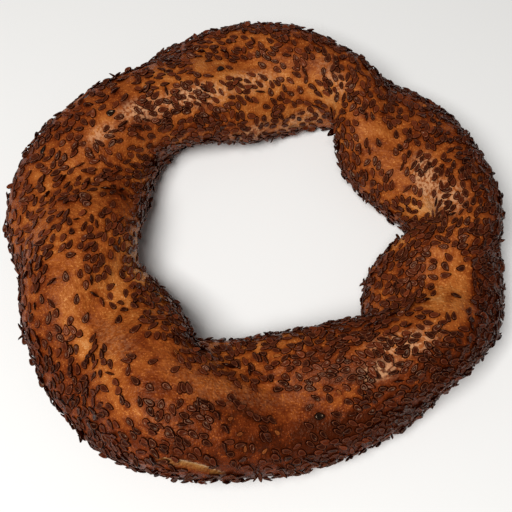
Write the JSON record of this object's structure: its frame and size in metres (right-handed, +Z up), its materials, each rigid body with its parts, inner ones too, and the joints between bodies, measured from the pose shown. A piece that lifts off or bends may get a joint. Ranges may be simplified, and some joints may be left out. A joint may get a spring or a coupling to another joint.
{
  "type": "simit",
  "caption": "Twisted bread ring of two fused strands with a browned, seeded crust and an open middle.",
  "frame": {"origin": "centre of the bounding box's underside, on the surface that the ring rests on", "axes": "+Z up through the ring's hole, -Y towards the side nearest the viewer, +X to the viewer's right"},
  "size_m": [0.1484, 0.1512, 0.0327],
  "materials": {
    "crust": "browned bread crust, glossy where bare, thickly covered with roasted sesame seeds"
  },
  "bodies": {
    "root": {"simit": "crust"}
  },
  "joints": []
}
